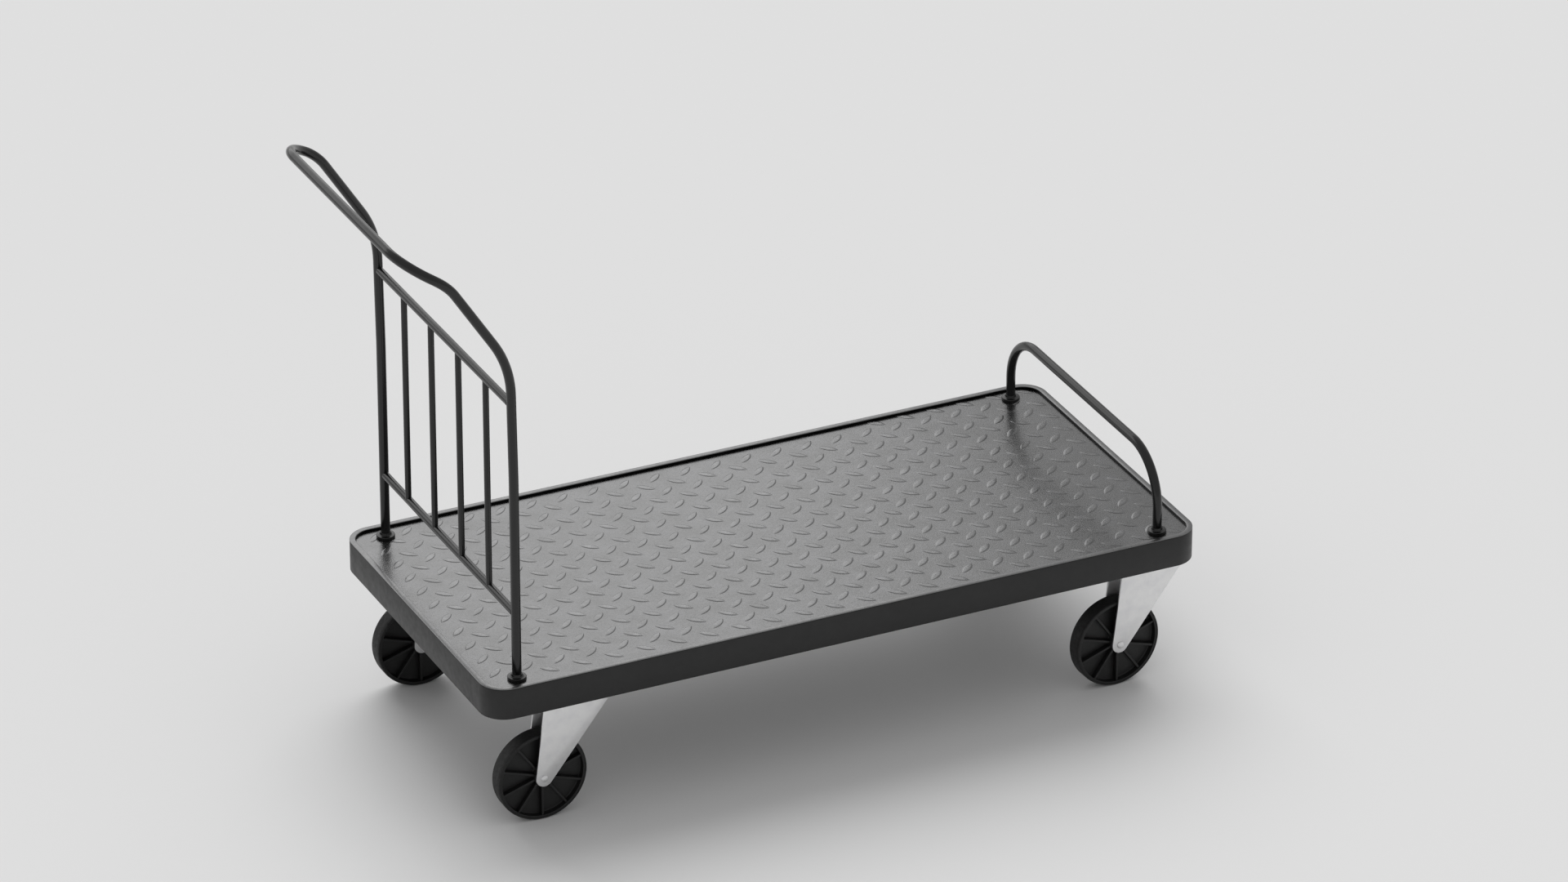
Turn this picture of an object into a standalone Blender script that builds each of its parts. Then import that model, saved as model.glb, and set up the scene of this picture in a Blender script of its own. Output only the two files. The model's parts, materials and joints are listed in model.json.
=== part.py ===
"""A platform luggage cart: tread-plate deck, push handle, low end rail and four swivel casters.

Metres, +Z up.  +X points to the low rail, -X to the push handle, +Y to the left.
The floor is Z = 0, and the origin is the middle of the whole cart's footprint.
"""
import math

import bmesh
import bpy
from mathutils import Matrix, Vector
from mathutils.geometry import interpolate_bezier

MM = 0.001
GAP = 0.3 * MM                       # clearance between touching pieces

# Driving dimensions: deck and skirt
DECK_LENGTH = 1230 * MM
DECK_WIDTH = 583 * MM
CORNER_RADIUS = 42 * MM
RIM_TOP = 266.5 * MM                 # height of the rim above the floor
SKIRT_DEPTH = 52.8 * MM
SKIRT_WALL = 3 * MM
CAP_WIDTH = 9.5 * MM
CAP_SHEET = 1.5 * MM
DECK_RECESS = 4.5 * MM
DECK_SHEET = 2 * MM
TREAD_HEIGHT = 1.3 * MM              # the raised field that stands for the tops of the lozenges
TREAD_INSET = 14 * MM                # from the deck's long sides to that field
TREAD_END_SPACE = 22 * MM            # from a row of bar feet to that field
TUBE_SIZE = 25 * MM                  # square box tube under the deck
TUBE_WALL = 2 * MM
TUBE_END_SPACE = 8 * MM              # from the skirt's outside to a cross member's end

# Driving dimensions: push handle and low rail
BAR_DIAMETER = 15 * MM
CROSSBAR_DIAMETER = 13 * MM
SPINDLE_DIAMETER = 10 * MM
POST_X = -553.9 * MM                 # from the middle of the deck
POST_Y = 255.6 * MM
SWAY_START = 336.6 * MM              # corner heights above the rim
LEAN_START = 532.7 * MM
KNEE_HEIGHT = 684.3 * MM
GRIP_HEIGHT = 724.4 * MM
SWAY_BACK = 2.5 * MM                 # how far behind the feet each corner is
LEAN_BACK = 99.9 * MM
GRIP_BACK = 165.9 * MM
LEAN_IN = 5.1 * MM
SWAY_RADIUS = 1200 * MM
LEAN_RADIUS = 172 * MM
GRIP_RADIUS = 69.5 * MM
KNEE_REACH = 22 * MM                 # from the knee's corner to each end of its bend
CROSSBAR_HEIGHTS = {"upper": 467.2 * MM, "lower": 107.7 * MM}
SPINDLE_PITCH = 104.5 * MM
LOW_RAIL_X = 553.5 * MM
LOW_RAIL_HEIGHT = 122.5 * MM
LOW_RAIL_RADIUS = 85.5 * MM
FLANGE_RADIUS = 15 * MM
FLANGE_EDGE = 4.5 * MM
FLANGE_HEIGHT = 9 * MM

# Driving dimensions: casters
WHEEL_RADIUS = 75 * MM
TYRE_WIDTH = 27.2 * MM
TYRE_INNER = 71 * MM
TRAIL = 50 * MM
SWIVEL_X = {"rear": -460.4 * MM, "front": 538.9 * MM}
SWIVEL_Y = 237 * MM
REST_SWIVEL = {"rear_right": 0.0, "front_right": 3.3, "rear_left": 0.0, "front_left": 0.0}
PLATE_SIZE = (105 * MM, 85 * MM, 3 * MM)
TUBE_SPREAD = 38 * MM                # from a swivel's axis to each of the two tubes over it
FORK_WIDTH = 40 * MM
FORK_SHEET = 3 * MM
FORK_TIP_RADIUS = 14 * MM
CROWN_TOP = 212.2 * MM
HUB_RADIUS = 14 * MM
HUB_WIDTH = 31 * MM
RIM_INNER = 68.5 * MM
RIM_WIDTH = 26.4 * MM
RIB_COUNT = 10
RIB_WIDTH = 3.8 * MM
RIB_DEPTH = 23 * MM
SLEEVE_RADIUS = 7 * MM
AXLE_RADIUS = 4 * MM
AXLE_HEAD_RADIUS = 6 * MM
KINGPIN_RADIUS = 5.7 * MM
RACE_RADIUS = 34 * MM
RACE_DEPTH = 9 * MM
BALL_RING_RADIUS = 30 * MM
BOLT_RADIUS = 3.7 * MM

# Derived dimensions
DECK_X = (GRIP_BACK - POST_X + BAR_DIAMETER / 2 - DECK_LENGTH / 2) / 2
DECK_TOP = RIM_TOP - DECK_RECESS
DECK_BOTTOM = DECK_TOP - DECK_SHEET
TUBE_TOP = DECK_BOTTOM - GAP
TUBE_BOTTOM = TUBE_TOP - TUBE_SIZE
PLATE_TOP = TUBE_BOTTOM - GAP
PLATE_BOTTOM = PLATE_TOP - PLATE_SIZE[2]
WHEEL_SIDES = 32                     # a multiple of 4, so that a corner touches the floor


def material(name, color, roughness, metallic):
    """A plain Principled material."""
    shader = bpy.data.materials.new(name)
    shader.use_nodes = True
    surface = shader.node_tree.nodes["Principled BSDF"]
    surface.inputs["Base Color"].default_value = (*color, 1)
    surface.inputs["Roughness"].default_value = roughness
    surface.inputs["Metallic"].default_value = metallic
    return shader


def add(name, mesh, shader, parent=None, place=None):
    """Link a mesh as one named piece, placed in its parent's frame."""
    piece = bpy.data.objects.new(name, mesh)
    bpy.context.scene.collection.objects.link(piece)
    if not mesh.materials:
        mesh.materials.append(shader)
    piece.parent = parent
    piece.matrix_basis = place or Matrix()
    return piece


def empty(name, place, parent=None):
    """A frame to hang pieces on."""
    frame = bpy.data.objects.new(name, None)
    bpy.context.scene.collection.objects.link(frame)
    frame.parent = parent
    frame.matrix_basis = place
    return frame


def mesh_from(points, faces):
    """A mesh with consistent outward faces."""
    mesh = bpy.data.meshes.new("piece")
    build = bmesh.new()
    corners = [build.verts.new(point) for point in points]
    for face in faces:
        build.faces.new([corners[index] for index in face])
    bmesh.ops.recalc_face_normals(build, faces=build.faces)
    build.to_mesh(mesh)
    build.free()
    return mesh


def smooth(mesh, degrees=35):
    """Shade a round piece smooth and keep its edges crisp."""
    mesh.shade_smooth()
    mesh.set_sharp_from_angle(angle=math.radians(degrees))
    return mesh


def loft(rings, closed):
    """Join equal rings of points, end to end or round into a closed ring."""
    size = len(rings[0])
    points = [point for ring in rings for point in ring]
    faces = []
    for row in range(len(rings) if closed else len(rings) - 1):
        here = row * size
        there = (row + 1) % len(rings) * size
        for step in range(size):
            side = (step + 1) % size
            faces.append((here + step, here + side, there + side, there + step))
    if not closed:
        faces.append(tuple(reversed(range(size))))
        faces.append(tuple(range((len(rings) - 1) * size, len(rings) * size)))
    return mesh_from(points, faces)


def prism(outline, low, high):
    """A flat outline in X and Y, given a height."""
    return loft([[(x, y, z) for x, y in outline] for z in (low, high)], closed=False)


def turned(profile, sides, closed=False):
    """Turn a profile of (radius, height) points about Z; closed makes a ring with a bore."""
    rings = []
    for radius, height in profile:
        turns = [2 * math.pi * step / sides for step in range(sides)]
        rings.append([(radius * math.cos(turn), radius * math.sin(turn), height) for turn in turns])
    return smooth(loft(rings, closed))


def cylinder(radius, low, high, sides=24):
    """A plain round bar along Z."""
    return turned([(radius, low), (radius, high)], sides)


def moved(mesh, place):
    """The same mesh, shifted or turned in its own frame."""
    mesh.transform(place)
    return mesh


def carved(mesh, tools, operation="DIFFERENCE"):
    """Cut, add or keep the overlap of tool meshes, one after another."""
    for tool in tools:
        base = bpy.data.objects.new("base", mesh)
        cutter = bpy.data.objects.new("cutter", tool)
        for each in (base, cutter):
            bpy.context.scene.collection.objects.link(each)
        change = base.modifiers.new("change", "BOOLEAN")
        change.operation = operation
        change.solver = "EXACT"
        change.object = cutter
        graph = bpy.context.evaluated_depsgraph_get()
        result = bpy.data.meshes.new_from_object(base.evaluated_get(graph))
        for each in (base, cutter):
            spent = each.data
            bpy.data.objects.remove(each)
            bpy.data.meshes.remove(spent)
        mesh = result
    return smooth(mesh)


def rounded_outline(length, width, radius, steps=7):
    """A rectangle with round corners, centred on the origin."""
    points = []
    corners = ((1, 1, 0), (-1, 1, 90), (-1, -1, 180), (1, -1, 270))
    for side_x, side_y, start in corners:
        for step in range(steps + 1):
            turn = math.radians(start + 90 * step / steps)
            x = side_x * (length / 2 - radius) + radius * math.cos(turn)
            y = side_y * (width / 2 - radius) + radius * math.sin(turn)
            points.append((x, y))
    return points


def deck_ring(profile):
    """A closed band round the deck, from (inset, height) points."""
    rings = []
    for inset, height in profile:
        outline = rounded_outline(DECK_LENGTH - 2 * inset, DECK_WIDTH - 2 * inset, CORNER_RADIUS - inset)
        rings.append([(x, y, height) for x, y in outline])
    return smooth(loft(rings, closed=True))


def bent_path(corners, radii, turn_step=9):
    """Points along straight runs between corners, with an arc of each radius at its corner."""
    corners = [Vector(corner) for corner in corners]
    path = [corners[0]]
    for before, corner, after, radius in zip(corners, corners[1:], corners[2:], radii):
        come = (corner - before).normalized()
        leave = (after - corner).normalized()
        turn = come.angle(leave)
        start = corner - come * radius * math.tan(turn / 2)
        inward = (leave - come * come.dot(leave)).normalized()
        steps = max(2, round(math.degrees(turn) / turn_step))
        for step in range(steps + 1):
            part = turn * step / steps
            path.append(start + come * radius * math.sin(part) + inward * radius * (1 - math.cos(part)))
    path.append(corners[-1])
    return path


def softened(path, corner, reach, steps=4):
    """The path with one smooth curve in place of what lies within a reach of a corner."""
    inside = [index for index, point in enumerate(path) if (point - corner).length < reach]
    come = (corner - path[inside[0] - 1]).normalized()
    last = inside[-1] + 1
    leave = (path[last + 1] - path[last - 1]).normalized()
    start = corner - come * reach
    pull = (path[last] - start).length / 3
    curve = interpolate_bezier(start, start + come * pull, path[last] - leave * pull, path[last], steps + 1)
    return path[:inside[0]] + curve[:-1] + path[last:]


def swept_bar(path, radius, sides=10):
    """A round bar along a path, each ring lying in the bisecting plane of its corner."""
    rings = []
    across = Vector((1, 0, 0))
    for index, point in enumerate(path):
        come = (point - path[max(index - 1, 0)]).normalized() if index else None
        leave = (path[index + 1] - point).normalized() if index + 1 < len(path) else None
        come = come or leave
        leave = leave or come
        along = (come + leave).normalized()
        across = (across - along * across.dot(along)).normalized()
        third = along.cross(across)
        ring = []
        for step in range(sides):
            turn = 2 * math.pi * step / sides
            ring.append(point + radius * (across * math.cos(turn) + third * math.sin(turn)))
        rings.append(ring)
    return smooth(loft(rings, closed=False), 60)


def along_y(mesh):
    """Turn a piece made along Z so that it lies along Y."""
    return moved(mesh, Matrix.Rotation(math.radians(-90), 4, "X"))


def at(x, y, z):
    """A shift."""
    return Matrix.Translation((x, y, z))


def box_tube(length):
    """Square box tube along Y, open at its ends, top face at Z = 0."""
    half = TUBE_SIZE / 2
    bore = half - TUBE_WALL
    rings = []
    for size, y in ((half, -length / 2), (half, length / 2), (bore, length / 2), (bore, -length / 2)):
        rings.append([(x * size, y, z * size - half) for x, z in ((-1, -1), (-1, 1), (1, 1), (1, -1))])
    return loft(rings, closed=True)


def hex_bolt(length, head=5 * MM):
    """A hex bolt that points up, its head's upper face at Z = 0."""
    head_mesh = turned([(7.2 * MM, -head), (7.2 * MM, 0)], 6)
    shank = cylinder(BOLT_RADIUS, -head / 2, length, 12)
    return carved(head_mesh, [shank], "UNION")


def make_deck(base, metal, skirt_paint, trim, frame_paint):
    """Deck plate, skirt, edge strip and the box-tube frame below."""
    inset = SKIRT_WALL + GAP
    outline = rounded_outline(DECK_LENGTH - 2 * inset, DECK_WIDTH - 2 * inset, CORNER_RADIUS - inset)
    plate = prism(outline, DECK_BOTTOM, DECK_TOP)
    drills = []
    for x, y in rail_feet():
        drills.append(moved(cylinder(BOLT_RADIUS + GAP, DECK_BOTTOM - MM, DECK_TOP + MM, 12), at(x, y, 0)))
    plate = carved(carved(plate, drills), [tread_field()], "UNION")
    add("deck_plate", plate, metal, base)

    cap_bottom = RIM_TOP - CAP_SHEET
    flange_top = cap_bottom - GAP
    flange_bottom = DECK_TOP + GAP
    skirt_bottom = RIM_TOP - SKIRT_DEPTH
    reach = CAP_WIDTH - CAP_SHEET - GAP
    skirt = [(0, skirt_bottom), (0, flange_top), (reach, flange_top), (reach, flange_bottom),
             (SKIRT_WALL, flange_bottom), (SKIRT_WALL, skirt_bottom)]
    add("rim_frame", deck_ring(skirt), skirt_paint, base)
    cap = [(0, cap_bottom), (0, RIM_TOP), (CAP_WIDTH, RIM_TOP), (CAP_WIDTH, flange_bottom),
           (CAP_WIDTH - CAP_SHEET, flange_bottom), (CAP_WIDTH - CAP_SHEET, cap_bottom)]
    add("rim_cap", deck_ring(cap), trim, base)

    length = DECK_WIDTH - 2 * TUBE_END_SPACE
    places = [SWIVEL_X[end] + side * TUBE_SPREAD for end in ("rear", "front") for side in (-1, 1)]
    for number, x in enumerate(places, 1):
        add(f"cross_member_{number}", box_tube(length), frame_paint, base, at(x, 0, TUBE_TOP))
    start = places[1] + TUBE_SIZE / 2 + GAP
    end = places[2] - TUBE_SIZE / 2 - GAP
    place = at((start + end) / 2, 0, TUBE_TOP) @ Matrix.Rotation(math.radians(-90), 4, "Z")
    add("stringer", box_tube(end - start), frame_paint, base, place)


def tread_field():
    """One raised field for all the lozenges, clear of the rim and of the bars' feet."""
    rear = POST_X + TREAD_END_SPACE
    front = LOW_RAIL_X - TREAD_END_SPACE
    side = DECK_WIDTH / 2 - TREAD_INSET
    outline = [(rear, -side), (front, -side), (front, side), (rear, side)]
    return prism(outline, DECK_BOTTOM + DECK_SHEET / 2, DECK_TOP + TREAD_HEIGHT)


def rail_feet():
    """Where the bars stand on the deck."""
    return [(x, side * POST_Y) for x in (POST_X, LOW_RAIL_X) for side in (-1, 1)]


def flange():
    """A coved collar that slips over the foot of a bar, standing on Z = 0."""
    bore = BAR_DIAMETER / 2 + GAP
    profile = [(bore, 0), (FLANGE_RADIUS, 0), (FLANGE_RADIUS, FLANGE_EDGE - 0.8 * MM),
               (FLANGE_RADIUS - 0.8 * MM, FLANGE_EDGE)]
    cove = FLANGE_HEIGHT - FLANGE_EDGE
    span = FLANGE_RADIUS - 2 * MM - bore - MM
    for step in range(3):
        turn = math.radians(45 * step)
        profile.append((bore + MM + span * (1 - math.sin(turn)), FLANGE_EDGE + cove * (1 - math.cos(turn))))
    profile.append((bore, FLANGE_HEIGHT))
    return turned(profile, 20, closed=True)


def bored(bar, x):
    """Drill the blind holes for the bolts into both feet of a bar."""
    depth = 25 * MM
    drills = []
    for side in (-1, 1):
        drill = cylinder(BOLT_RADIUS + GAP, DECK_TOP - MM, DECK_TOP + depth, 12)
        drills.append(moved(drill, at(x, side * POST_Y, 0)))
    return carved(bar, drills)


def post_x_at(height):
    """How far back the handle's posts are at a height above the rim, below the lean."""
    climb = max(0, height - SWAY_START) / (LEAN_START - SWAY_START)
    return POST_X - SWAY_BACK * climb


def make_handle(base, paint):
    """Push handle: bent bar, crossbars, spindles and flanges."""
    grip = POST_X - GRIP_BACK
    knee = Vector((POST_X - LEAN_BACK, LEAN_IN - POST_Y, RIM_TOP + KNEE_HEIGHT))
    corners = [(POST_X, -POST_Y, DECK_TOP + GAP), (POST_X, -POST_Y, RIM_TOP + SWAY_START),
               (POST_X - SWAY_BACK, -POST_Y, RIM_TOP + LEAN_START), knee,
               (grip, LEAN_IN - POST_Y, RIM_TOP + GRIP_HEIGHT), (grip, 0, RIM_TOP + GRIP_HEIGHT)]
    right = softened(bent_path(corners, [SWAY_RADIUS, LEAN_RADIUS, 0, GRIP_RADIUS]), knee, KNEE_REACH)
    left = [Vector((x, -y, z)) for x, y, z in reversed(right[:-1])]
    add("handle_bar", bored(swept_bar(right + left, BAR_DIAMETER / 2), POST_X), paint, base)

    places = [(post_x_at(height), RIM_TOP + height) for height in CROSSBAR_HEIGHTS.values()]
    post_cut = BAR_DIAMETER / 2 + GAP
    for name, (x, z) in zip(CROSSBAR_HEIGHTS, places):
        bar = moved(along_y(cylinder(CROSSBAR_DIAMETER / 2, -POST_Y, POST_Y, 16)), at(x, 0, z))
        cuts = []
        for side in (-1, 1):
            cut = cylinder(post_cut, z - 15 * MM, z + 15 * MM)
            cuts.append(moved(cut, at(x, side * POST_Y, 0)))
        add(f"crossbar_{name}", carved(bar, cuts), paint, base)
    middle = (places[0][0] + places[1][0]) / 2
    for number in range(4):
        y = (number - 1.5) * SPINDLE_PITCH
        bar = moved(cylinder(SPINDLE_DIAMETER / 2, places[1][1], places[0][1], 12), at(middle, y, 0))
        cuts = []
        for x, z in places:
            cut = along_y(cylinder(CROSSBAR_DIAMETER / 2 + GAP, -12 * MM, 12 * MM))
            cuts.append(moved(cut, at(x, y, z)))
        add(f"spindle_{number + 1}", carved(bar, cuts), paint, base)
    add_flanges("handle", POST_X, base, paint)


def add_flanges(owner, x, base, paint):
    """The pair of collars at the feet of one bar."""
    for name, y in (("left", POST_Y), ("right", -POST_Y)):
        add(f"{owner}_flange_{name}", flange(), paint, base, at(x, y, DECK_TOP + GAP))


def make_low_rail(base, paint):
    """Low end rail: one bent bar and its flanges."""
    top = RIM_TOP + LOW_RAIL_HEIGHT
    foot = DECK_TOP + GAP
    corners = [(LOW_RAIL_X, -POST_Y, foot), (LOW_RAIL_X, -POST_Y, top),
               (LOW_RAIL_X, POST_Y, top), (LOW_RAIL_X, POST_Y, foot)]
    bar = swept_bar(bent_path(corners, [LOW_RAIL_RADIUS] * 2), BAR_DIAMETER / 2)
    add("low_rail", bored(bar, LOW_RAIL_X), paint, base)
    add_flanges("low_rail", LOW_RAIL_X, base, paint)


def make_bolts(base, zinc):
    """The hex bolts that hold the bars down, from below the deck."""
    bolt = hex_bolt(22 * MM)
    for number, (x, y) in enumerate(rail_feet(), 1):
        add(f"rail_bolt_{number}", bolt, zinc, base, at(x, y, DECK_BOTTOM - GAP))


def caster_plate():
    """Mounting plate in the caster's frame."""
    length, width, _ = PLATE_SIZE
    plate = prism(rounded_outline(length, width, 8 * MM, 3), PLATE_BOTTOM, PLATE_TOP)
    return carved(plate, [cylinder(KINGPIN_RADIUS + GAP, PLATE_BOTTOM - MM, PLATE_TOP + MM, 16)])


def race():
    """Fixed upper race, a pressed cup below the plate."""
    bore = KINGPIN_RADIUS + GAP
    top = PLATE_BOTTOM - GAP
    edge = top - 6 * MM
    low = top - RACE_DEPTH
    profile = [(bore, top), (RACE_RADIUS, top), (RACE_RADIUS, edge), (RACE_RADIUS - 3 * MM, low), (bore, low)]
    return turned(profile, 20, closed=True)


def ball_ring():
    """The ring of balls between the race and the fork's crown, in one turned outline."""
    bore = KINGPIN_RADIUS + GAP
    top = PLATE_BOTTOM - RACE_DEPTH - 2 * GAP
    low = CROWN_TOP + GAP
    waist = BALL_RING_RADIUS - 3 * MM
    profile = [(bore, top), (waist, top), (BALL_RING_RADIUS, (top + low) / 2), (waist, low), (bore, low)]
    return turned(profile, 20, closed=True)


def kingpin():
    """Riveted kingpin with a head below the crown and one above the plate."""
    head = 9 * MM
    crown_bottom = CROWN_TOP - FORK_SHEET
    low = crown_bottom - GAP
    high = PLATE_TOP + GAP
    profile = [(head - 1.5 * MM, low - 4.5 * MM), (head, low - 3 * MM), (head, low), (KINGPIN_RADIUS, low),
               (KINGPIN_RADIUS, high), (head, high), (head, high + 3 * MM), (head - 1.5 * MM, high + 4.5 * MM)]
    return turned(profile, 12)


def fork_side():
    """The fork's outline seen from the side, as X and Z points in the caster's frame."""
    tip = FORK_TIP_RADIUS
    rear_slope = math.atan(0.124)
    front_slope = math.atan(0.783)
    top = CROWN_TOP - WHEEL_RADIUS
    bend = 119 * MM
    points = []
    start = 180 - math.degrees(rear_slope)
    end = 360 - math.degrees(front_slope)
    for step in range(9):
        turn = math.radians(start + (end - start) * step / 8)
        points.append((tip * math.cos(turn), tip * math.sin(turn)))
    front = tip / math.cos(front_slope) + bend * math.tan(front_slope)
    rear = top * math.tan(rear_slope) - tip / math.cos(rear_slope)
    points += [(front, bend), (front, top), (rear, top)]
    return [(x - TRAIL, z + WHEEL_RADIUS) for x, z in points]


def fork():
    """Bent sheet fork: an inverted channel trimmed to the side outline."""
    outer = FORK_WIDTH / 2
    bends = [(outer, 5 * MM, CROWN_TOP), (outer - FORK_SHEET, 2 * MM, CROWN_TOP - FORK_SHEET)]
    low = WHEEL_RADIUS - FORK_TIP_RADIUS - 2 * MM
    section = []
    for half, radius, top in bends:
        side = [(-half, low)]
        for step in range(4):
            turn = math.radians(180 - 30 * step)
            side.append((radius * math.cos(turn) + radius - half, radius * math.sin(turn) + top - radius))
        side += [(-y, z) for y, z in reversed(side)]
        section += side if half == outer else side[::-1]
    long = 90 * MM
    channel = loft([[(x, y, z) for y, z in section] for x in (-long, long)], closed=False)
    outline = fork_side()
    trim = loft([[(x, y, z) for x, z in outline] for y in (-outer - MM, outer + MM)], closed=False)
    pin_hole = cylinder(KINGPIN_RADIUS + GAP, CROWN_TOP - 2 * FORK_SHEET, CROWN_TOP + MM, 16)
    axle_hole = along_y(cylinder(AXLE_RADIUS + GAP, -outer - MM, outer + MM, 16))
    axle_hole = moved(axle_hole, at(-TRAIL, 0, WHEEL_RADIUS))
    return carved(carved(channel, [trim], "INTERSECT"), [pin_hole, axle_hole])


def axle():
    """Axle rivet along Y with a domed head outside each cheek."""
    face = FORK_WIDTH / 2 + GAP
    half = [(AXLE_RADIUS, face), (AXLE_HEAD_RADIUS, face)]
    for step in range(1, 4):
        turn = math.radians(26 * step)
        half.append((AXLE_HEAD_RADIUS * math.cos(turn), face + 3 * MM * math.sin(turn)))
    profile = [(radius, -y) for radius, y in reversed(half)] + half
    return along_y(turned(profile, 12))


def sleeve():
    """Bearing sleeve on the axle, clamped between the cheeks."""
    half = FORK_WIDTH / 2 - FORK_SHEET - GAP
    bore = AXLE_RADIUS + GAP
    outer = SLEEVE_RADIUS
    return along_y(turned([(bore, -half), (outer, -half), (outer, half), (bore, half)], 16, closed=True))


def wheel_centre():
    """Wheel centre about Y: hub, web, rim and ten ribs, one of them straight down."""
    bore = SLEEVE_RADIUS + GAP
    hub = HUB_WIDTH / 2
    web = 2.5 * MM
    rim = RIM_WIDTH / 2
    tread = TYRE_INNER - GAP
    half = [(bore, hub), (HUB_RADIUS, hub), (HUB_RADIUS, web), (RIM_INNER, web), (RIM_INNER, rim), (tread, rim)]
    profile = [(radius, -y) for radius, y in half] + half[::-1]
    centre = along_y(turned(profile, WHEEL_SIDES, closed=True))
    for number in range(RIB_COUNT):
        rib = bpy.data.meshes.new("rib")
        build = bmesh.new()
        bmesh.ops.create_cube(build, size=1)
        reach = RIM_INNER - HUB_RADIUS + 2.4 * MM
        middle = (RIM_INNER + HUB_RADIUS) / 2
        bmesh.ops.scale(build, verts=build.verts, vec=(RIB_WIDTH, RIB_DEPTH, reach))
        bmesh.ops.translate(build, verts=build.verts, vec=(0, 0, -middle))
        build.to_mesh(rib)
        build.free()
        centre = carved(centre, [moved(rib, Matrix.Rotation(2 * math.pi * number / RIB_COUNT, 4, "Y"))], "UNION")
    return centre


def tyre():
    """Tyre about Y, with a lightly crowned tread."""
    half = TYRE_WIDTH / 2
    shoulder = WHEEL_RADIUS - 1.2 * MM
    side = [(TYRE_INNER, half), (shoulder, half), (WHEEL_RADIUS, half - 4 * MM)]
    profile = [(radius, -y) for radius, y in side] + side[::-1]
    return along_y(turned(profile, WHEEL_SIDES, closed=True))


def make_casters(base, zinc, plastic, rubber):
    """Four casters that share their meshes, each with its own frames."""
    fixed = {"plate": caster_plate(), "swivel_race": race(), "kingpin": kingpin()}
    swivelling = {"fork": fork(), "ball_ring": ball_ring()}
    on_axle = {"axle": axle(), "axle_sleeve": sleeve()}
    rolling = {"wheel": (wheel_centre(), plastic), "tyre": (tyre(), rubber)}
    for corner, degrees in REST_SWIVEL.items():
        end, side = corner.split("_")
        y = SWIVEL_Y if side == "left" else -SWIVEL_Y
        mount = empty(f"{corner}_mount", at(SWIVEL_X[end], y, 0), base)
        swivel = empty(f"{corner}_swivel", Matrix.Rotation(math.radians(degrees), 4, "Z"), mount)
        hub = empty(f"{corner}_hub", at(-TRAIL, 0, WHEEL_RADIUS), swivel)
        for name, mesh in fixed.items():
            add(f"{corner}_{name}", mesh, zinc, mount)
        for name, mesh in swivelling.items():
            add(f"{corner}_{name}", mesh, zinc, swivel)
        for name, mesh in on_axle.items():
            add(f"{corner}_{name}", mesh, zinc, hub)
        for name, (mesh, shader) in rolling.items():
            add(f"{corner}_{name}", mesh, shader, hub)


def main():
    for old in list(bpy.data.objects):
        bpy.data.objects.remove(old, do_unlink=True)
    tread_metal = material("tread_metal", (0.42, 0.42, 0.42), 0.35, 1.0)
    edge_metal = material("edge_metal", (0.42, 0.42, 0.42), 0.4, 1.0)
    skirt_paint = material("skirt_paint", (0.03, 0.03, 0.03), 0.45, 0.0)
    bar_paint = material("bar_paint", (0.02, 0.02, 0.02), 0.3, 0.0)
    zinc = material("zinc_plate", (0.62, 0.62, 0.62), 0.45, 1.0)
    plastic = material("wheel_plastic", (0.02, 0.02, 0.02), 0.5, 0.0)
    rubber = material("tyre_rubber", (0.025, 0.025, 0.025), 0.7, 0.0)
    base = empty("cart", at(DECK_X, 0, 0))
    make_deck(base, tread_metal, skirt_paint, edge_metal, skirt_paint)
    make_handle(base, bar_paint)
    make_low_rail(base, bar_paint)
    make_bolts(base, zinc)
    make_casters(base, zinc, plastic, rubber)


main()
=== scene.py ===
"""The looks of the platform luggage cart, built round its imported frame.

Metres, +Z up.  +X points to the low rail, -X to the push handle, +Y to the left.
"""
import json
import math

import bmesh
import bpy
from mathutils import Matrix, Vector
from mathutils.geometry import delaunay_2d_cdt, interpolate_bezier

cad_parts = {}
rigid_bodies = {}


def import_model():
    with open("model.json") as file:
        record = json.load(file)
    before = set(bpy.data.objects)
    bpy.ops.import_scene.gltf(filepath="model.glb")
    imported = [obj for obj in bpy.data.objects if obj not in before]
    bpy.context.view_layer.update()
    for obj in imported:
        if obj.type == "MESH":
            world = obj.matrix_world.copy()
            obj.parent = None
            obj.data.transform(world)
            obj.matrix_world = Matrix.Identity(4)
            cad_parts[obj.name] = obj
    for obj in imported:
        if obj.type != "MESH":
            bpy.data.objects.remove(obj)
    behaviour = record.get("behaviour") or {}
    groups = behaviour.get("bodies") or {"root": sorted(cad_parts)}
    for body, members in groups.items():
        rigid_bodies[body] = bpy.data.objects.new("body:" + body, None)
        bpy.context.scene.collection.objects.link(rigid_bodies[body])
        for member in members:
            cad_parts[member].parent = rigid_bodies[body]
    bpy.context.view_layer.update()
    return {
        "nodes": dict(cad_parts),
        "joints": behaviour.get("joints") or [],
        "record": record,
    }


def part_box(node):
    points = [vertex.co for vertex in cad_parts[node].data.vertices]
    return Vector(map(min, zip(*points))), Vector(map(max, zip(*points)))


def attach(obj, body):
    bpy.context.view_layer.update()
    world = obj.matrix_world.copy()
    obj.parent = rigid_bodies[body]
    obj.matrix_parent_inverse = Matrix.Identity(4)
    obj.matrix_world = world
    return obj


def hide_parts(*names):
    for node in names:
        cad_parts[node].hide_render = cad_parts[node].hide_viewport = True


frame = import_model()

MM = 0.001
LAP = 1 * MM                          # how far welded bars run into each other

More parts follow.
